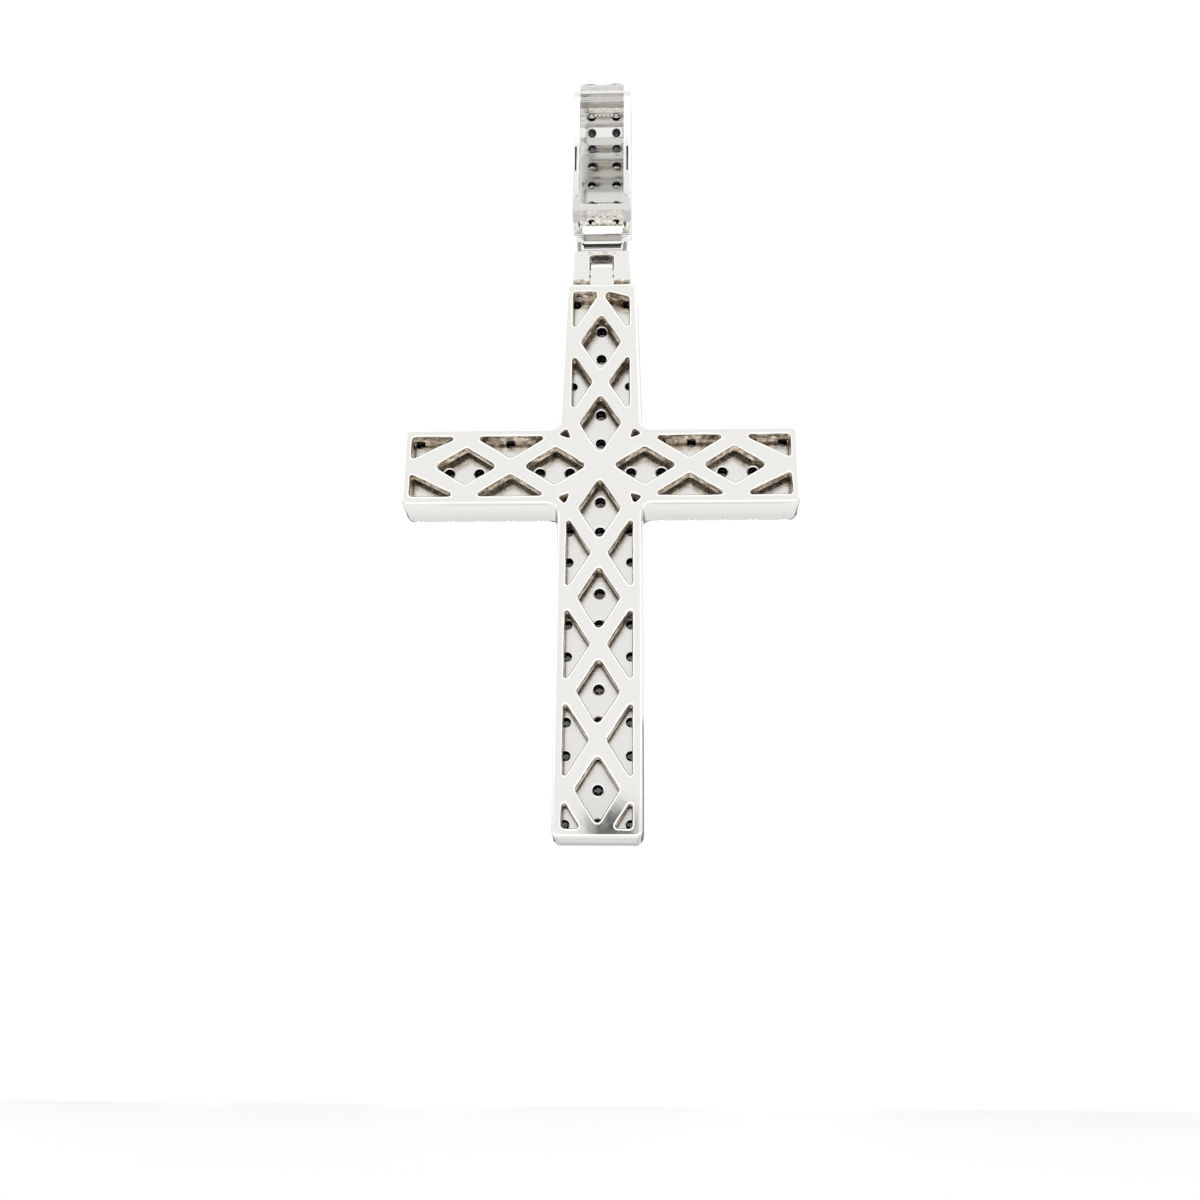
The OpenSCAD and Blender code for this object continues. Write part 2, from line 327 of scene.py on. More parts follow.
# %% [markdown]
# Rolling the rims of many openings leaves the flat sides as faces with folds and slivers. Each flat
# side is therefore taken out and filled anew between its rims. The fill is done at a thousand times
# the size, because the operator's own limits are coarse for a piece this small.

# %% Filling a flat side anew
CLOSE_UP = 0.0005 * MM


def refill(bm, y, facing):
    """Fills a flat side anew round its openings, once their edges are rolled."""
    bmesh.ops.remove_doubles(bm, verts=bm.verts, dist=CLOSE_UP)
    flat = [face for face in bm.faces if all(abs(v.co.y - y) < MERGE for v in face.verts)]
    bmesh.ops.delete(bm, geom=flat, context="FACES")
    rims = [edge for edge in bm.edges if edge.is_boundary and at_depth(edge, y)]
    bmesh.ops.scale(bm, vec=(1 / MM, 1 / MM, 1 / MM), verts=bm.verts)
    made = bmesh.ops.triangle_fill(bm, edges=rims, use_beauty=True, use_dissolve=False,
                                   normal=(0, facing, 0))
    bmesh.ops.scale(bm, vec=(MM, MM, MM), verts=bm.verts)
    bm.normal_update()
    faces = [item for item in made["geom"] if isinstance(item, bmesh.types.BMFace)]
    bmesh.ops.reverse_faces(bm, faces=[face for face in faces if face.normal.y * facing < 0])
    return len(faces)


# %% [markdown]
# Now the cross is worked: flare the walls, split the edges that will wander, roll, and fill the flat
# sides anew. The wandering comes last, because an uneven edge can't be rolled evenly. The back outline
# gets the largest radius, as the first thing that the wheel touches, and the rims about two thirds of
# it. The printed volume stays close to the solid's, which it wouldn't if a side were left open.

# %% Working the cross
LEDGE_Y = FRONT_Y + 0.35 * MM
FLARE_Y = -0.8 * MM
LONG_EDGE = 0.45 * MM
BACK_ROLL = 0.2 * MM
RIM_ROLL = 0.14 * MM
HOLE_ROLL = 0.1 * MM
FRONT_ROLL = 0.05 * MM
TONGUE_ROLL = 0.04 * MM
WANDER_FROM = 0.5 * MM
WANDER_BY = 0.035 * MM

bm = solid_copy("cross_body")
print("flare corners:", flare_walls(bm, LEDGE_Y, FLARE_Y))
print("wandering edges:", split_long(bm, BACK_Y, LONG_EDGE))
print("opening rims:", roll_edges(bm, RIM_ROLL, steps=3, chosen=on_rim))
print("back outline:", roll_edges(bm, BACK_ROLL, steps=4, chosen=on_back_outline))
print("front outline:", roll_edges(bm, FRONT_ROLL, steps=2, chosen=on_front_outline))
print("tongue:", roll_edges(bm, TONGUE_ROLL, steps=2, chosen=on_tongue))
whole = whole_holes(bm)
print("hole rims:", roll_edges(bm, HOLE_ROLL, steps=2, chosen=whole.__contains__))
for y, facing in ((BACK_Y, 1), (PLATE_Y, 1), (FRONT_Y, -1)):
    print("flat side at", round(y / MM, 2), "mm filled with", refill(bm, y, facing), "faces")
bmesh.ops.triangulate(bm, faces=bm.faces)
hand_finish(bm, WANDER_FROM, WANDER_BY)
bm.normal_update()
print("metal:", round(bm.calc_volume() / MM ** 3, 1), "cubic millimetres")

# %% [markdown]
# No wheel reaches into the hollow. Its walls keep the casting's brown skin, and painted shade and
# painted golden glints are added to its colour. The inner plate stays a little rough, and the walls of
# the seats and drilled holes are painted dark as shade. A material can't know this from a place alone,
# so each face stores three values from 0 to 1, and the finish reads them: the first is the skin with
# its painted shade and glints, the second makes the plate rough and the third is painted shade. A face
# is inside if a short step along its normal stays within the outline.

# %% Skin and painted shade of the cross
STEP_IN = 0.2 * MM
RIM_ZONE = 0.08 * MM
SEAT_ZONE = 0.05 * MM
HOLE_ZONE = 0.11 * MM

wall = bm.faces.layers.float.new("wall")
plate = bm.faces.layers.float.new("plate")
bore = bm.faces.layers.float.new("bore")
for face in bm.faces:
    middle = face.calc_center_median()
    ahead = middle + face.normal * STEP_IN
    if within_outline(ahead.x, ahead.z, 0.0):
        # Hollow walls take the skin with painted shade and glints; seat and hole walls take painted
        # shade.
        face[wall] = float(PLATE_Y + NEAR < middle.y < BACK_Y - RIM_ZONE)
        face[plate] = float(abs(middle.y - PLATE_Y) < NEAR)
        face[bore] = float(FRONT_Y + SEAT_ZONE < middle.y < PLATE_Y - HOLE_ZONE)
print("faces with casting skin:", sum(face[wall] > 0 for face in bm.faces))
cross = place_piece(bm, "cross_casting", "cross", ["cross_body"])
weight_normals(cross)

# %% [markdown]
# ## The link
# The link is a small casting with two ears below for the tongue and two above for the bail. Its edges
# are rolled by a few hundredths of a millimetre only, so that the hinges keep their clearance. The
# painted shade on the strip above the tongue has to end on straight lines, and a stored value can only
# change from face to face. So one helper slices a few faces along a plane and leaves the rest of the
# mesh alone.

# %% Slicing faces
SLICE_LIMIT = 1e-7


def slice_faces(bm, faces, point, normal):
    """Cuts some faces in two along a plane and gives them all back."""
    edges = dict.fromkeys(edge for face in faces for edge in face.edges)
    corners = dict.fromkeys(v for face in faces for v in face.verts)
    made = bmesh.ops.bisect_plane(bm, geom=[*faces, *edges, *corners], dist=SLICE_LIMIT,
                                  plane_co=point, plane_no=normal)
    return [item for item in made["geom"] if isinstance(item, bmesh.types.BMFace)]


# %% [markdown]
# The link's broad back is sliced after its edges are rolled, and as triangles, because slicing a large
# face with notches can leave it broken.

# %% Rolling and slicing the link
SLOT_TOP = -12.3 * MM
STRIP_X = 0.95 * MM
LINK_ROLL = 0.06 * MM
TINY = 0.02 * MM
BACKWARD = 0.99
BROAD = 1 * MM ** 2


def long_enough(edge):
    return edge.calc_length() > TINY


bm = solid_copy("bail_link")
print("link edges:", roll_edges(bm, LINK_ROLL, steps=2, chosen=long_enough))
bm.normal_update()
broad = [face for face in bm.faces if face.normal.y > BACKWARD and face.calc_area() > BROAD]
broad = bmesh.ops.triangulate(bm, faces=broad)["faces"]
for x in (-STRIP_X, STRIP_X):
    broad = slice_faces(bm, broad, (x, 0, 0), (1, 0, 0))
broad = slice_faces(bm, broad, (0, 0, SLOT_TOP), (0, 0, 1))
bm.normal_update()
print("broad back of the link in", len(broad), "faces")

# %% [markdown]
# Shade is painted where the link's parts shade each other: on the strip above the tongue, on the sides
# of the tongue's slot and in the gap under the knuckle. Warm glints are painted on the tips of the
# ears.
# How dull or how dark each of them is painted was judged against the real finish.

# %% Painted shade and glints on the link
TONGUE_SLOT = 0.8 * MM
SLOT_RIM = 0.05 * MM
KNUCKLE_SLOT = 1.34 * MM
SHOULDER = -12.09 * MM
EAR_TIPS = -13.9 * MM
LOOKS_UP = 0.5
TURNS_DOWN = -0.3
# Weights of the skin tone with its painted shade and glints, and of painted shade: shade on the strip,
# the slot's sides and the knuckle's gap, and warm painted glints on the ear tips.
STRIP_SHADE = 0.45
SLOT_SHADE_TONE = 0.4
SLOT_DARK = 0.45
GAP_DARK = 0.9
TIP_GLINTS = 0.7

wall = bm.faces.layers.float.new("wall")
bore = bm.faces.layers.float.new("bore")
for face in bm.faces:
    middle = face.calc_center_median()
    side = abs(middle.x)
    z = middle.z
    slot_side = abs(face.normal.y) < SIDEWAYS
    if side < STRIP_X and SLOT_TOP < z < SHOULDER and not slot_side:
        face[wall] = STRIP_SHADE
    if side < TONGUE_SLOT and z < SLOT_TOP + SLOT_RIM and slot_side:
        face[bore] = SLOT_DARK
        face[wall] = SLOT_SHADE_TONE
    elif side < KNUCKLE_SLOT and z > SHOULDER and face.normal.z > LOOKS_UP:
        face[bore] = GAP_DARK
    elif z < EAR_TIPS and face.normal.z < TURNS_DOWN:
        face[wall] = TIP_GLINTS
link = place_piece(bm, "link_casting", "link", ["bail_link"])
weight_normals(link)

# %% [markdown]
# ## The bail
# The bail is an oblong loop: two rails joined by a plate that carries two columns of stones up its
# front and over its round top. The stones' places come first, because their seats must stay crisp
# while the other edges are rolled. A row's distance runs up the front and round each end of the loop,
# so each place leans with the metal under it.

# %% Where the bail's stones sit
TOP_C = -2.2 * MM
LOW_C = -7.5 * MM
PLATE_R = 3.2 * MM
STRAIGHT = LOW_C - TOP_C
BAIL_ROWS = range(-4, 5)
BAIL_FIRST = 0.7
BAIL_PITCH = 1.6
BAIL_STONE_D = 1.0 * MM
ACROSS = 0.85 * MM


def bail_places():
    """A matrix for each stone of the bail, at the metal's surface, facing out."""
    places = []
    for row in BAIL_ROWS:
        along = (BAIL_FIRST + BAIL_PITCH * row) * MM
        centre, past = TOP_C, along
        if along < STRAIGHT:
            centre, past = LOW_C, along - STRAIGHT
        lean = past / PLATE_R if along >= 0 or along < STRAIGHT else 0.0
        y = -PLATE_R * math.cos(lean)
        z = centre + PLATE_R * math.sin(lean) if lean else TOP_C + along
        for side in (-1, 1):
            turn = Matrix.Rotation(math.radians(90) - lean, 4, "X")
            places.append(Matrix.Translation((side * ACROSS, y, z)) @ turn)
    return places


bail_seats = [place.inverted() for place in bail_places()]
print("seats on the bail:", len(bail_seats))

# %% [markdown]
# In the back of each rail runs a short, narrow slit. It is sunk with the inset operator: the rails'
# back is sliced along the slit's four sides, and the small face between them is pushed in.

# %% Slits in the rails
RAIL_BACK_Y = 2.7 * MM
SLIT_X = 1.69 * MM
SLIT_HALF = 0.05 * MM
SLIT_LOW = -7.2 * MM
SLIT_HIGH = -5.3 * MM
SLIT_TAPER = 0.02 * MM
SLIT_DEPTH = 0.12 * MM


def cut_slits(bm):
    """Cuts the narrow slit in the back of each rail."""
    back = []
    for face in bm.faces:
        if face.normal.y > BACKWARD and face.calc_center_median().y > RAIL_BACK_Y:
            back.append(face)
    for z in (SLIT_LOW, SLIT_HIGH):
        back = slice_faces(bm, back, (0, 0, z), (0, 0, 1))
    for side in (-SLIT_X, SLIT_X):
        for x in (side - SLIT_HALF, side + SLIT_HALF):
            back = slice_faces(bm, back, (x, 0, 0), (1, 0, 0))
    slits = []
    for face in back:
        middle = face.calc_center_median()
        if abs(abs(middle.x) - SLIT_X) < NEAR and SLIT_LOW < middle.z < SLIT_HIGH:
            slits.append(face)
    bmesh.ops.inset_individual(bm, faces=slits, thickness=SLIT_TAPER, depth=-SLIT_DEPTH)
    bm.normal_update()
    return len(slits)


bm = solid_copy("bail_loop")
print("slits in the rails:", cut_slits(bm))

# %% [markdown]
# The outer edges of the rails are rubbed by the chain and by clothes, so they are rolled most. The
# other edges get a touch, and none is rolled inside a seat.

# %% Rolled edges of the bail
RAIL_X = 1.925 * MM
SEAT_MARGIN = 0.06 * MM
SEAT_REACH = 2 * MM
RAIL_ROLL = 0.1 * MM
BAIL_ROLL = 0.03 * MM


def on_rail(edge):
    return all(abs(abs(v.co.x) - RAIL_X) < LEVEL for v in edge.verts)


def in_seat(edge):
    """True for an edge inside a seat or a drilled hole of the bail."""
    middle = (edge.verts[0].co + edge.verts[1].co) / 2
    for seat in bail_seats:
        there = seat @ middle
        if math.hypot(there.x, there.y) < BAIL_STONE_D / 2 + SEAT_MARGIN and there.z > -SEAT_REACH:
            return True
    return False


def clear_of_seats(edge):
    return not in_seat(edge) and long_enough(edge)


print("rail edges:", roll_edges(bm, RAIL_ROLL, steps=3, chosen=on_rail))
print("bail edges:", roll_edges(bm, BAIL_ROLL, steps=2, chosen=clear_of_seats))
bm.normal_update()

# %% [markdown]
# Shade and skin tone are painted on the loop in places too: round the lower window, under the top, on
# the outer end, on faces that look down, and towards the bottom of the inside, where it turns brown
# below a straight line. Each kind of place has a pair of values, for the skin tone with its painted
# shade and glints, and for painted shade. The tests go from place to place as an eye would, and the
# first that fits holds.

# %% Where shade is painted on the bail
LOOP_IN = 2.2 * MM
BROWN_Z = -6.4 * MM
WINDOW_X = 1.35 * MM
WINDOW_TOP = -9.0 * MM
WINDOW_ZONE = 0.03 * MM
OUTER_FROM_Y = 0.3 * MM
OUTER_SKIN = 0.1 * MM
END_FROM_Y = 1.5 * MM
BEND_FROM_Y = 1.2 * MM
BEND_DROP = 1.2 * MM
TOP_RISE = 0.8 * MM
INNER_LOW = 0.05 * MM
INNER_HIGH = 0.02 * MM
STEEP_DOWN = -0.8
BEND_DOWN = (-0.9, -0.5)
# Pairs of skin tone and painted shade: the window's sides take the full skin tone as painted shade, the
# outer end a painted brown reflection with painted shade, faces that look down and the top inside take
# painted shade, and the low inside takes a brown skin tone.
POLISHED = (0.0, 0.0)
WINDOW_SIDES = (1.0, 0.0)
OUTER_END = (0.15, 0.25)
UNDERSIDE = (0.0, 0.35)
TOP_INSIDE = (0.0, 0.05)
LOW_INSIDE = (0.3, 0.0)


def bail_shade(face):
    """The skin tone, with its painted shade and glints, and the painted shade of one face of the bail.
    """
    x, y, z = face.calc_center_median()
    down = face.normal.z
    round_top = math.hypot(y, z - TOP_C)
    round_low = math.hypot(y, z - LOW_C)
    if abs(abs(x) - WINDOW_X) < WINDOW_ZONE and z < WINDOW_TOP:
        return WINDOW_SIDES
    if y > OUTER_FROM_Y and round_top > PLATE_R - OUTER_SKIN and z > TOP_C:
        return OUTER_END
    if y > END_FROM_Y and z > TOP_C and down < STEEP_DOWN:
        return UNDERSIDE
    if y > BEND_FROM_Y and z < LOW_C - BEND_DROP and BEND_DOWN[0] < down < BEND_DOWN[1]:
        return UNDERSIDE
    if y < 0 and z < LOW_C and round_low < LOOP_IN + INNER_HIGH:
        return LOW_INSIDE
    inner_top = LOOP_IN - INNER_LOW < round_top < LOOP_IN + INNER_HIGH
    if y < 0 and z > TOP_C + TOP_RISE and inner_top:
        return TOP_INSIDE
    if abs(y + LOOP_IN) < NEAR and z < BROWN_Z:
        return LOW_INSIDE
    return POLISHED


# %% [markdown]
# Two more places get painted shade, darker than their surroundings: the floor of each slit, and the
# drilled hole behind each stone. A hole is found in its seat's own frame, where the stone faces up.

# %% Painted skin tone and shade on the bail
SLIT_ZONE = 0.09 * MM
SLIT_FLOOR = (2.5 * MM, 2.795 * MM)
SLIT_DARK = 1.0
HOLE_R = 0.32 * MM
HOLE_SPAN = (-1.2 * MM, -0.25 * MM)
HOLE_DARK = 0.7


def in_slit(x, y, z):
    deep = SLIT_FLOOR[0] < y < SLIT_FLOOR[1]
    return abs(abs(x) - SLIT_X) < SLIT_ZONE and SLIT_LOW < z < SLIT_HIGH and deep


def in_hole(there):
    return math.hypot(there.x, there.y) < HOLE_R and HOLE_SPAN[0] < there.z < HOLE_SPAN[1]


inside = []
for face in bm.faces:
    if face.normal.y > BACKWARD and abs(face.calc_center_median().y + LOOP_IN) < NEAR:
        inside.append(face)
inside = bmesh.ops.triangulate(bm, faces=inside)["faces"]
inside = slice_faces(bm, inside, (0, 0, BROWN_Z), (0, 0, 1))
print("flat inside of the bail in", len(inside), "faces")
wall = bm.faces.layers.float.new("wall")
bore = bm.faces.layers.float.new("bore")
for face in bm.faces:
    face[wall], face[bore] = bail_shade(face)
    middle = face.calc_center_median()
    if in_slit(*middle):
        face[bore] = SLIT_DARK
    if any(in_hole(seat @ middle) for seat in bail_seats):
        face[bore] = HOLE_DARK
bail = place_piece(bm, "bail_casting", "bail", ["bail_loop"])
weight_normals(bail)

# %% [markdown]
# ## The stones
# A round brilliant is cut, facet by facet, from a blank. The same can be done here: a sixteen-sided
# blank is sliced with a plane for each facet, and each slice is closed with a face. Three points on a
# facet give its plane. Sizes are parts of the stone's diameter, with the girdle's top at zero height.

# %% Cutting one facet
INSIDE = Vector((0, 0, -0.1))
CUT_LIMIT = 1e-5


def spot(radius, degrees, height):
    """A point at a radius and an angle round the stone."""
    turn = math.radians(degrees)
    return Vector((radius * math.cos(turn), radius * math.sin(turn), height))


def cut_facet(bm, a, b, c):
    """Slices off what lies beyond the plane through three points, and closes the cut."""
    normal = (b - a).cross(c - a).normalized()
    if normal.dot(a - INSIDE) < 0:
        normal = -normal
    geom = bm.verts[:] + bm.edges[:] + bm.faces[:]
    bmesh.ops.bisect_plane(bm, geom=geom, dist=CUT_LIMIT, plane_co=a, plane_no=normal,
                           clear_outer=True)
    open_edges = [edge for edge in bm.edges if edge.is_boundary]
    if open_edges:
        bmesh.ops.holes_fill(bm, edges=open_edges, sides=0)


# %% [markdown]
# A brilliant has eight main facets above and eight below. Between them lie the small ones: star
# facets round the table, and pairs of halves along the girdle. Their inner tips are placed on the main
# facets' slopes, so that all the cuts meet in points. The lower half, the pavilion, gets a stored value
# of its own for the finish.

# %% One brilliant
FACETS = 8
EIGHTH = 360 // FACETS
BETWEEN = EIGHTH / 2
GIRDLE_R = 0.5
GIRDLE_H = 0.03
TABLE_R = 0.28
CROWN_H = 0.16
CULET = -0.46
STAR_R = 0.379
LOWER_R = 0.115
BLANK_Z = -0.34
PAVILION_DOWN = -0.2


def brilliant():
    """One cut stone of diameter 1."""
    bm = bmesh.new()
    bmesh.ops.create_cone(bm, cap_ends=True, segments=2 * FACETS, radius1=GIRDLE_R, radius2=GIRDLE_R,
                          depth=1.0, matrix=Matrix.Translation((0, 0, BLANK_Z)))
    inward = math.cos(math.pi / FACETS)
    crown_slope = CROWN_H / (GIRDLE_R - TABLE_R)
    star_z = CROWN_H - (STAR_R * inward - TABLE_R) * crown_slope
    pavilion_slope = (-GIRDLE_H - CULET) / GIRDLE_R
    lower_z = CULET + LOWER_R * inward * pavilion_slope
    tip = spot(0, 0, CULET)
    for k in range(FACETS):
        at = EIGHTH * k
        table_edge = spot(TABLE_R, at, CROWN_H)
        across = spot(1, at + 90, 0)
        cut_facet(bm, table_edge, spot(GIRDLE_R, at, 0), table_edge + across)
        cut_facet(bm, tip, spot(GIRDLE_R, at, -GIRDLE_H), tip + across)
    for k in range(FACETS):
        at = EIGHTH * k
        star_tip = spot(STAR_R, at + BETWEEN, star_z)
        lower_tip = spot(LOWER_R, at + BETWEEN, lower_z)
        cut_facet(bm, spot(TABLE_R, at, CROWN_H), spot(TABLE_R, at + EIGHTH, CROWN_H), star_tip)
        for side in (0, EIGHTH):
            cut_facet(bm, star_tip, spot(GIRDLE_R, at + side, 0), spot(GIRDLE_R, at + BETWEEN, 0))
            cut_facet(bm, lower_tip, spot(GIRDLE_R, at + side, -GIRDLE_H),
                      spot(GIRDLE_R, at + BETWEEN, -GIRDLE_H))
    cut_facet(bm, spot(1, 0, CROWN_H), spot(1, 120, CROWN_H), spot(1, 240, CROWN_H))
    bmesh.ops.recalc_face_normals(bm, faces=bm.faces)
    bm.normal_update()
    pavilion = bm.faces.layers.float.new("pavilion")
    for face in bm.faces:
        face[pavilion] = float(face.normal.z < PAVILION_DOWN)
    mesh = bpy.data.meshes.new("brilliant")
    bm.to_mesh(mesh)
    bm.free()
    print("one brilliant has", len(mesh.polygons), "facets")
    return mesh


stone_mesh = brilliant()

# %% [markdown]
# The stones sit on the same grid as their drilled holes. The front rows of the cross are straight, and
# the outer columns follow the narrowing top. A place is a matrix, so it says where a stone is and also
# which way it faces.

# %% Where the cross's stones sit
ROW_PITCH = 2.0 * MM
COL_PITCH = 1.9 * MM
STONE_D = 1.3 * MM
UPRIGHT_ROWS = range(-11, 7)
ARM_COLUMNS = range(2, 7)
FACE_FRONT = Matrix.Rotation(math.radians(90), 4, "X")


def cross_places():
    """A matrix for each stone of the cross, at the metal's surface, facing out."""
    spots = []
    for row in UPRIGHT_ROWS:
        z = row * ROW_PITCH
        column = COL_PITCH - (HALF_BAR - half_width(z))
        spots += [(side * column, z) for side in (-1, 0, 1)]
    for side in (-1, 1):
        for column in ARM_COLUMNS:
            spots += [(side * column * COL_PITCH, row * ROW_PITCH) for row in (-1, 0, 1)]
    return [Matrix.Translation((x, FRONT_Y, CROSS_Z + z)) @ FACE_FRONT for x, z in spots]


print("places on the cross:", len(cross_places()))

# %% [markdown]
# The brilliant is copied to every place, and the copies are one piece, because stones that are set
# never move apart. Each girdle is sunk a little below the metal's surface. The facets are shaded flat,
# since a cut stone has no soft edge.

# %% Setting the stones
SINK = Matrix.Translation((0, 0, -0.12 * MM))


def set_stones(places, diameter, name, body, node):
    """Copies the brilliant to every place as one piece."""
    bm = bmesh.new()
    size = Matrix.Diagonal((diameter, diameter, diameter, 1))
    for place in places:
        first = len(bm.verts)
        bm.from_mesh(stone_mesh)
        bm.verts.ensure_lookup_table()
        bmesh.ops.transform(bm, matrix=place @ SINK @ size, verts=bm.verts[first:])
    piece = place_piece(bm, name, body, [node])
    for polygon in piece.data.polygons:
        polygon.use_smooth = False
    print(name, "holds", len(places), "stones")
    return piece


cross_stones = set_stones(cross_places(), STONE_D, "cross_brilliants", "cross", "cross_diamonds")
bail_stones = set_stones(bail_places(), BAIL_STONE_D, "bail_brilliants", "bail", "bail_diamonds")

# %% [markdown]
# ## The beads
# Each stone is held by four small beads that are raised from the metal with a graver and pushed over
# its girdle. One bead is the upper part of a ball with few faces, because it is repeated hundreds of
# times. Each is sunk a little way into the metal, so that no gap shows.

# %% One setting bead
BEAD_R = 0.15 * MM
BEAD_SIDES = 8
BEAD_RINGS = 6
BEAD_CUT = -0.5 * BEAD_R


def bead():
    """The upper part of a ball."""
    bm = bmesh.new()
    bmesh.ops.create_uvsphere(bm, u_segments=BEAD_SIDES, v_segments=BEAD_RINGS, radius=BEAD_R)
    geom = bm.verts[:] + bm.edges[:] + bm.faces[:]
    bmesh.ops.bisect_plane(bm, geom=geom, plane_co=(0, 0, BEAD_CUT), plane_no=(0, 0, -1),
                           clear_outer=True)
    bmesh.ops.holes_fill(bm, edges=[edge for edge in bm.edges if edge.is_boundary], sides=0)
    mesh = bpy.data.meshes.new("bead")
    bm.to_mesh(mesh)
    bm.free()
    print("one bead has", len(mesh.polygons), "faces")
    return mesh


bead_mesh = bead()

# %% [markdown]
# The beads stand at the quarters of each stone, just outside its girdle, and lean on it. All beads of a
# body are one piece, as the stones are.

# %% Four beads round each stone
BEAD_OUT = 0.45 * BEAD_R
QUARTERS = (45, 135, 225, 315)


def set_beads(places, diameter, name, body):
    """Four beads round each stone, as one piece."""
    bm = bmesh.new()
    out = diameter / 2 + BEAD_OUT
    for place in places:
        for quarter in QUARTERS:
            first = len(bm.verts)
            bm.from_mesh(bead_mesh)
            bm.verts.ensure_lookup_table()
            there = place @ Matrix.Translation(spot(out, quarter, 0))
            bmesh.ops.transform(bm, matrix=there, verts=bm.verts[first:])
    return place_piece(bm, name, body)


cross_beads = set_beads(cross_places(), STONE_D, "cross_beads", "cross")
bail_beads = set_beads(bail_places(), BAIL_STONE_D, "bail_beads", "bail")

# %% [markdown]
# Inside the loop, at its top and its bottom, rows of small beads run across. They come from the wax, so
# they are plain balls half sunk in the metal. A row is given by its angle round the loop's end, how
# many beads it has, and their pitch and radius in millimetres.

# %% Rows of beads inside the loop
TOP_ROWS = [(89, 3, 0.85, 0.17), (74, 7, 0.28, 0.12)]
LOW_ROWS = [(9, 4, 0.50, 0.15), (-10, 6, 0.46, 0.18)]
BALL_SIDES = 10
BALL_RINGS = 7
BALL_SKIN_AND_GLINTS = 0.15


def set_rows(rows, centre, bm):
    """Rows of balls on the inside of the loop."""
    for degrees, count, pitch, radius in rows:
        turn = math.radians(degrees)
        y = -LOOP_IN * math.cos(turn)
        z = centre + LOOP_IN * math.sin(turn)
        for k in range(count):
            x = (k - (count - 1) / 2) * pitch * MM
            bmesh.ops.create_uvsphere(bm, u_segments=BALL_SIDES, v_segments=BALL_RINGS,
                                      radius=radius * MM, matrix=Matrix.Translation((x, y, z)))


bm = bmesh.new()
set_rows(TOP_ROWS, TOP_C, bm)
set_rows(LOW_ROWS, LOW_C, bm)
# The beads take a little of the skin tone, with its painted shade and glints.
wall = bm.faces.layers.float.new("wall")
for face in bm.faces:
    face[wall] = BALL_SKIN_AND_GLINTS
inner_beads = place_piece(bm, "inner_beads", "bail")

# %% [markdown]
# ## Wiring a material
# A finish is a small drawing of nodes. Writing each sum as its own node is hard to read, so one small
# class wraps a socket and turns plus, minus and times into Math nodes. The forms that start with r let
# a plain number stand first, as in 1 - wall.

# %% Wires
class Wire:
    """An output socket that sums can be written with."""

    def __init__(self, bench, socket):
        self.bench = bench
        self.socket = socket

    def __add__(self, other):
        return self.bench.sum("ADD", self, other)

    def __sub__(self, other):
        return self.bench.sum("SUBTRACT", self, other)

    def __rsub__(self, other):
        return self.bench.sum("SUBTRACT", other, self)

    def __mul__(self, other):
        return self.bench.sum("MULTIPLY", self, other)

    __radd__ = __add__
    __rmul__ = __mul__

    def clipped(self):
        """The same value kept between 0 and 1."""
        return self.bench.sum("ADD", self, 0.0, clamp=True)


# %% [markdown]
# Any other node comes from one method. It first sets the node's own settings, because they can change
# which sockets it has, and then fills the sockets with values or wires.

# %% The bench
class Bench:
    """The nodes of one material."""

    def __init__(self, name):
        self.material = bpy.data.materials.new(name)
        self.material.use_nodes = True
        self.nodes = self.material.node_tree.nodes
        self.links = self.material.node_tree.links
        self.nodes.clear()

    def node(self, kind, settings, sockets, out=0):
        """Adds a node, sets its settings, fills its sockets and gives one output."""
        made = self.nodes.new(kind)
        for key, value in settings.items():
            if key == "stops":
                ramp = made.color_ramp.elements
                while len(ramp) < len(value):
                    ramp.new(0.5)
                for element, (place, colour) in zip(ramp, value):
                    element.position = place
                    element.color = (*colour, 1.0)
            else:
                setattr(made, key, value)
        for key, value in sockets.items():
            if isinstance(value, Wire):
                self.links.new(value.socket, made.inputs[key])
            else:
                made.inputs[key].default_value = value
        return Wire(self, made.outputs[out])

    def sum(self, operation, a, b, clamp=False):
        settings = {"operation": operation, "use_clamp": clamp}
        return self.node("ShaderNodeMath", settings, {0: a, 1: b})

    def blend(self, factor, a, b):
        """A mix of two colours."""
        return self.node("ShaderNodeMix", {"data_type": "RGBA"}, {0: factor, 6: a, 7: b}, out=2)

    def noise(self, coords, scale, detail=3.0, roughness=0.5):
        sockets = {"Vector": coords, "Scale": scale, "Detail": detail, "Roughness": roughness}
        return self.node("ShaderNodeTexNoise", {}, sockets)

    def stored(self, name):
        """A value that the faces of a piece store."""
        return self.node("ShaderNodeAttribute", {"attribute_name": name}, {}, out="Fac")

    def places(self):
        """The place of each point in its piece."""
        return self.node("ShaderNodeTexCoord", {}, {}, out="Object")

    def output(self, shader):
        out = self.nodes.new("ShaderNodeOutputMaterial")
        self.links.new(shader.socket, out.inputs["Surface"])
        return self.material


# %% [markdown]
# ## White gold
# Polished white gold is a mirror with a faintly warm grey. What keeps it from looking like a computer's
# mirror is small: a surface that is never quite flat, and a polish that is better in some spots than in
# others. Inside the hollow, where no wheel reaches, is the dull, brownish skin of the casting, and its
# colour also carries painted shade and painted golden glints. The stored values tell which faces are
# inside and where shade is painted, and painted shade deepens the tone with the depth below the back.

# %% The colour of white gold
# The skin's tones run from painted shade near black, through brown, to painted golden and near-white
# glints.
SKIN_SHADE_AND_GLINTS = [(0.32, (0.07, 0.055, 0.042)), (0.43, (0.34, 0.27, 0.21)), (0.53, (0.60, 0.50, 0.40)),
        (0.59, (0.96, 0.80, 0.56)), (0.66, (1.0, 0.96, 0.88))]
POLISH = (0.81, 0.803, 0.774, 1)
POLISH_DEEPER = (0.785, 0.777, 0.748, 1)
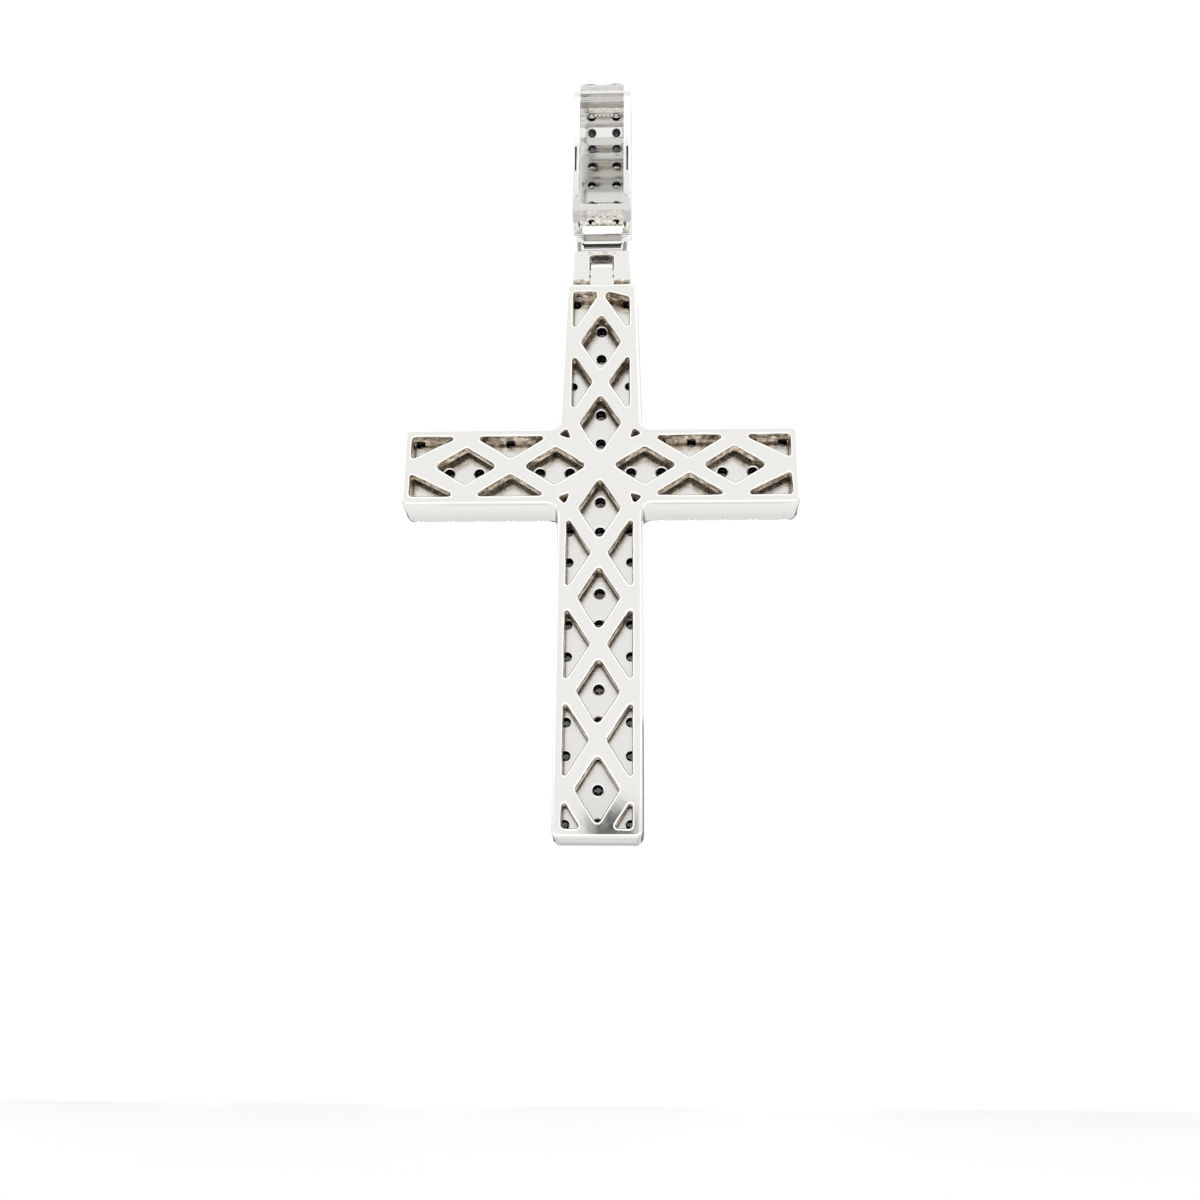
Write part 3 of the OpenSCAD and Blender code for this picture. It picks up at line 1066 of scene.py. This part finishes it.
# Painted shade: the tone that the hollow deepens to, and the dark of holes and gaps.
PAINTED_HOLLOW_SHADE = (0.60, 0.595, 0.575, 1)
PAINTED_HOLE_SHADE = (0.05, 0.045, 0.045, 1)
BLOTCH_FROM = 0.4
DEPTH_FROM = 0.4 * MM
DEPTH_RATE = 500.0
DEPTH_MOST = 0.7


def gold_colour(bench, coords, lumps, blotch):
    """Polish, painted shade with depth, skin with painted shade and glints, painted shade in holes."""
    colour = bench.blend((blotch - BLOTCH_FROM).clipped(), POLISH, POLISH_DEEPER)
    # Painted shade that deepens with the depth below the back.
    depth = bench.node("ShaderNodeSeparateXYZ", {}, {"Vector": coords}, out="Y")
    shade = ((DEPTH_FROM - depth) * DEPTH_RATE).clipped() * DEPTH_MOST
    colour = bench.blend(shade, colour, PAINTED_HOLLOW_SHADE)
    skin_shade_glints = bench.node("ShaderNodeValToRGB", {"stops": SKIN_SHADE_AND_GLINTS}, {"Fac": lumps})
    colour = bench.blend(bench.stored("wall"), colour, skin_shade_glints)
    return bench.blend(bench.stored("bore"), colour, PAINTED_HOLE_SHADE)


# %% [markdown]
# The surface takes three noises of different size: slow waves a few millimetres long, small lumps, and
# blotches where the polish is thinner. The skin is duller than the polish, only half metal because it
# is partly oxide and polishing paste, and its lumps stand out much more.

# %% The surface of white gold
WAVES = (450.0, 1.0)
LUMPS = (2600.0, 3.0, 0.6)
BLOTCHES = (1800.0, 3.0, 0.6)
POLISH_ROUGH = 0.05
BLOTCH_ROUGH = 0.08
SKIN_ROUGH = 0.12
PLATE_ROUGH = 0.12
SKIN_OXIDE = 0.5
POLISH_LUMPS = 0.15
SKIN_LUMPS = 8.0
RELIEF_STRENGTH = 0.15
RELIEF_HEIGHT = 0.03 * MM


def white_gold(name):
    bench = Bench(name)
    coords = bench.places()
    wave = bench.noise(coords, *WAVES)
    lumps = bench.noise(coords, *LUMPS)
    blotch = bench.noise(coords, *BLOTCHES)
    wall = bench.stored("wall")
    plate = bench.stored("plate")
    rough = POLISH_ROUGH + BLOTCH_ROUGH * blotch + SKIN_ROUGH * wall + PLATE_ROUGH * plate
    height = wave + POLISH_LUMPS * lumps + SKIN_LUMPS * wall * lumps
    relief = {"Strength": RELIEF_STRENGTH, "Distance": RELIEF_HEIGHT, "Height": height}
    sockets = {"Base Color": gold_colour(bench, coords, lumps, blotch),
               "Metallic": 1.0 - SKIN_OXIDE * wall,
               "Roughness": rough,
               "Normal": bench.node("ShaderNodeBump", {}, relief)}
    material = bench.output(bench.node("ShaderNodeBsdfPrincipled", {}, sockets))
    print(name, "has", len(bench.nodes), "nodes")
    return material


gold = white_gold("white_gold")

# %% [markdown]
# ## Diamond
# A diamond bends light far more than glass does. Its fire comes from the cut, so the material is plain:
# clear, very smooth, with a high refractive index and a trace of variation from stone to stone. Most
# light that enters from the front is thrown back by the pavilion whatever its tint, so the pavilion can
# be tinted dark. That stands for the dust and shade behind a set stone, which make the drilled holes
# look black from behind.

# %% Diamond
CLEAR_WARM = (0.99, 0.99, 0.97, 1)
CLEAR_COOL = (0.93, 0.96, 1.0, 1)
BEHIND_STONE = (0.03, 0.03, 0.035, 1)
CLOUDS = (700.0, 1.0)
DIAMOND_BENDS = 2.42
DIAMOND_ROUGH = 0.01


def diamond_material(name):
    bench = Bench(name)
    tint = bench.blend(bench.noise(bench.places(), *CLOUDS), CLEAR_WARM, CLEAR_COOL)
    sockets = {"Base Color": bench.blend(bench.stored("pavilion"), tint, BEHIND_STONE),
               "Roughness": DIAMOND_ROUGH,
               "IOR": DIAMOND_BENDS,
               "Transmission Weight": 1.0}
    material = bench.output(bench.node("ShaderNodeBsdfPrincipled", {}, sockets))
    print(name, "has", len(bench.nodes), "nodes")
    return material


clear = diamond_material("diamond_clear")

# %% [markdown]
# All the metal is one alloy, so every casting and bead gets the same white gold. All the stones get
# the same diamond.

# %% Giving the pieces their finish
def dress(piece, material):
    piece.data.materials.clear()
    piece.data.materials.append(material)
    print(piece.name, "is dressed in", material.name)


for piece in (cross, link, bail, cross_beads, bail_beads, inner_beads):
    dress(piece, gold)
for piece in (cross_stones, bail_stones):
    dress(piece, clear)

# %% [markdown]
# ## Floor and light
# The picture is bright and nearly shadowless: a pale floor under a white surround, as in a light tent.
# The floor lies well below the pendant, which hangs, and is a faintly mottled paper.

# %% Floor
FLOOR_Z = -80 * MM
FLOOR_HALF = 3.0
PAPER_DARKER = (0.965, 0.965, 0.965, 1)
PAPER_LIGHTER = (0.985, 0.985, 0.98, 1)
MOTTLE = (30.0, 2.0)
PAPER_ROUGH = 0.7


def pale_paper(name):
    bench = Bench(name)
    mottle = bench.noise(bench.places(), *MOTTLE)
    paper = bench.blend(mottle, PAPER_DARKER, PAPER_LIGHTER)
    sockets = {"Base Color": paper, "Roughness": PAPER_ROUGH}
    return bench.output(bench.node("ShaderNodeBsdfPrincipled", {}, sockets))


bm = bmesh.new()
bmesh.ops.create_grid(bm, x_segments=1, y_segments=1, size=FLOOR_HALF,
                      matrix=Matrix.Translation((0, 0, FLOOR_Z)))
floor_mesh = bpy.data.meshes.new("floor")
bm.to_mesh(floor_mesh)
bm.free()
floor_mesh.materials.append(pale_paper("pale_floor"))
floor = bpy.data.objects.new("floor", floor_mesh)
bpy.context.scene.collection.objects.link(floor)
print("floor", round(-FLOOR_Z / MM), "mm below the chain's seat")

# %% [markdown]
# A mirror-like piece shows its surroundings, so the surroundings are what shades it. A photographer of
# jewellery works with cards, and so does this scene: each is a glowing sheet that only reflections
# show. A plain card glows evenly. One card has soft folds of light and dark, like the cloth of a tent.

# %% What a card shows
FOLDS = (16.0, 2.0)
WHITE = (1, 1, 1, 1)


def card_material(name, glow, folds):
    """An even glow, or one with the given stops of light and dark."""
    bench = Bench(name)
    colour = WHITE
    if folds:
        waves = bench.noise(bench.places(), *FOLDS)
        colour = bench.node("ShaderNodeValToRGB", {"stops": folds}, {"Fac": waves})
    return bench.output(bench.node("ShaderNodeEmission", {}, {"Color": colour, "Strength": glow}))


# %% [markdown]
# A card's place is given as a studio would say it: how far round, how high, and how far from the
# middle of the pendant. At 0 degrees it faces the pierced back, and at 180 the front.

# %% Placing a card
MIDDLE = Vector((0, 0, -27)) * MM
HALF_SHEET = 0.5
OVAL_SIDES = 24


def card(name, azimuth, elevation, distance, width, height, glow, folds=None, oval=False):
    """A card that only reflections show."""
    turn = math.radians(azimuth)
    climb = math.radians(elevation)
    way = Vector((math.sin(turn) * math.cos(climb), math.cos(turn) * math.cos(climb), math.sin(climb)))
    bm = bmesh.new()
    if oval:
        bmesh.ops.create_circle(bm, cap_ends=True, segments=OVAL_SIDES, radius=HALF_SHEET)
    else:
        bmesh.ops.create_grid(bm, x_segments=1, y_segments=1, size=HALF_SHEET)
    bmesh.ops.scale(bm, verts=bm.verts, vec=(width, height, 1))
    facing = way.to_track_quat("Z", "Y").to_matrix().to_4x4()
    place = Matrix.Translation(MIDDLE + way * distance) @ facing
    bmesh.ops.transform(bm, verts=bm.verts, matrix=place)
    mesh = bpy.data.meshes.new(name)
    bm.to_mesh(mesh)
    bm.free()
    mesh.materials.append(card_material(name, glow, folds))
    made = bpy.data.objects.new(name, mesh)
    made.visible_camera = False
    made.visible_diffuse = False
    made.visible_shadow = False
    bpy.context.scene.collection.objects.link(made)
    print(name, "stands", distance, "m away")


# %% [markdown]
# The window above, the cards at the sides and the table below whiten the rolled edges. On the front's
# side hang the room, a card below it and two dark stands, and faces that are turned down or sideways
# show these as grey bands. The small dark lens gives the one deep reflection near the foot.

# %% Cards
TENT = [(0.42, (0.05, 0.05, 0.055)), (0.50, (0.35, 0.35, 0.36)), (0.58, (1.0, 1.0, 1.0))]

card("card_window", azimuth=0, elevation=62, distance=0.4, width=0.9, height=0.306, glow=1.5)
for name, azimuth in (("card_left", 80), ("card_right", -80)):
    card(name, azimuth, elevation=24, distance=0.4, width=0.55, height=0.24, glow=1.35)
card("card_table", azimuth=0, elevation=-58, distance=0.062, width=0.40, height=0.12, glow=1.35)
card("card_room", azimuth=180, elevation=-5, distance=0.4, width=0.50, height=0.16, glow=0.75,
     folds=TENT)
card("card_below", azimuth=180, elevation=-56.3, distance=0.036, width=0.03, height=0.0108, glow=0.68)
for name, azimuth in (("card_stand_left", 156), ("card_stand_right", -156)):
    card(name, azimuth, elevation=0, distance=0.36, width=0.08, height=0.14, glow=0.25)
card("card_lens", azimuth=0.95, elevation=-8.5, distance=0.0756, width=0.0056, height=0.0052,
     glow=0.01, oval=True)

# %% [markdown]
# Everything else is the white cloth of the tent. It lights the pendant evenly from all sides, so there
# are no hard shadows. The plain view keeps white white.

# %% Surround
TENT_GLOW = 1.05

world = bpy.data.worlds.new("white_tent")
world.use_nodes = True
cloth = world.node_tree.nodes["Background"].inputs
cloth["Color"].default_value = WHITE
cloth["Strength"].default_value = TENT_GLOW
bpy.context.scene.world = world
bpy.context.scene.view_settings.view_transform = "Standard"
print("surround glows at", TENT_GLOW)
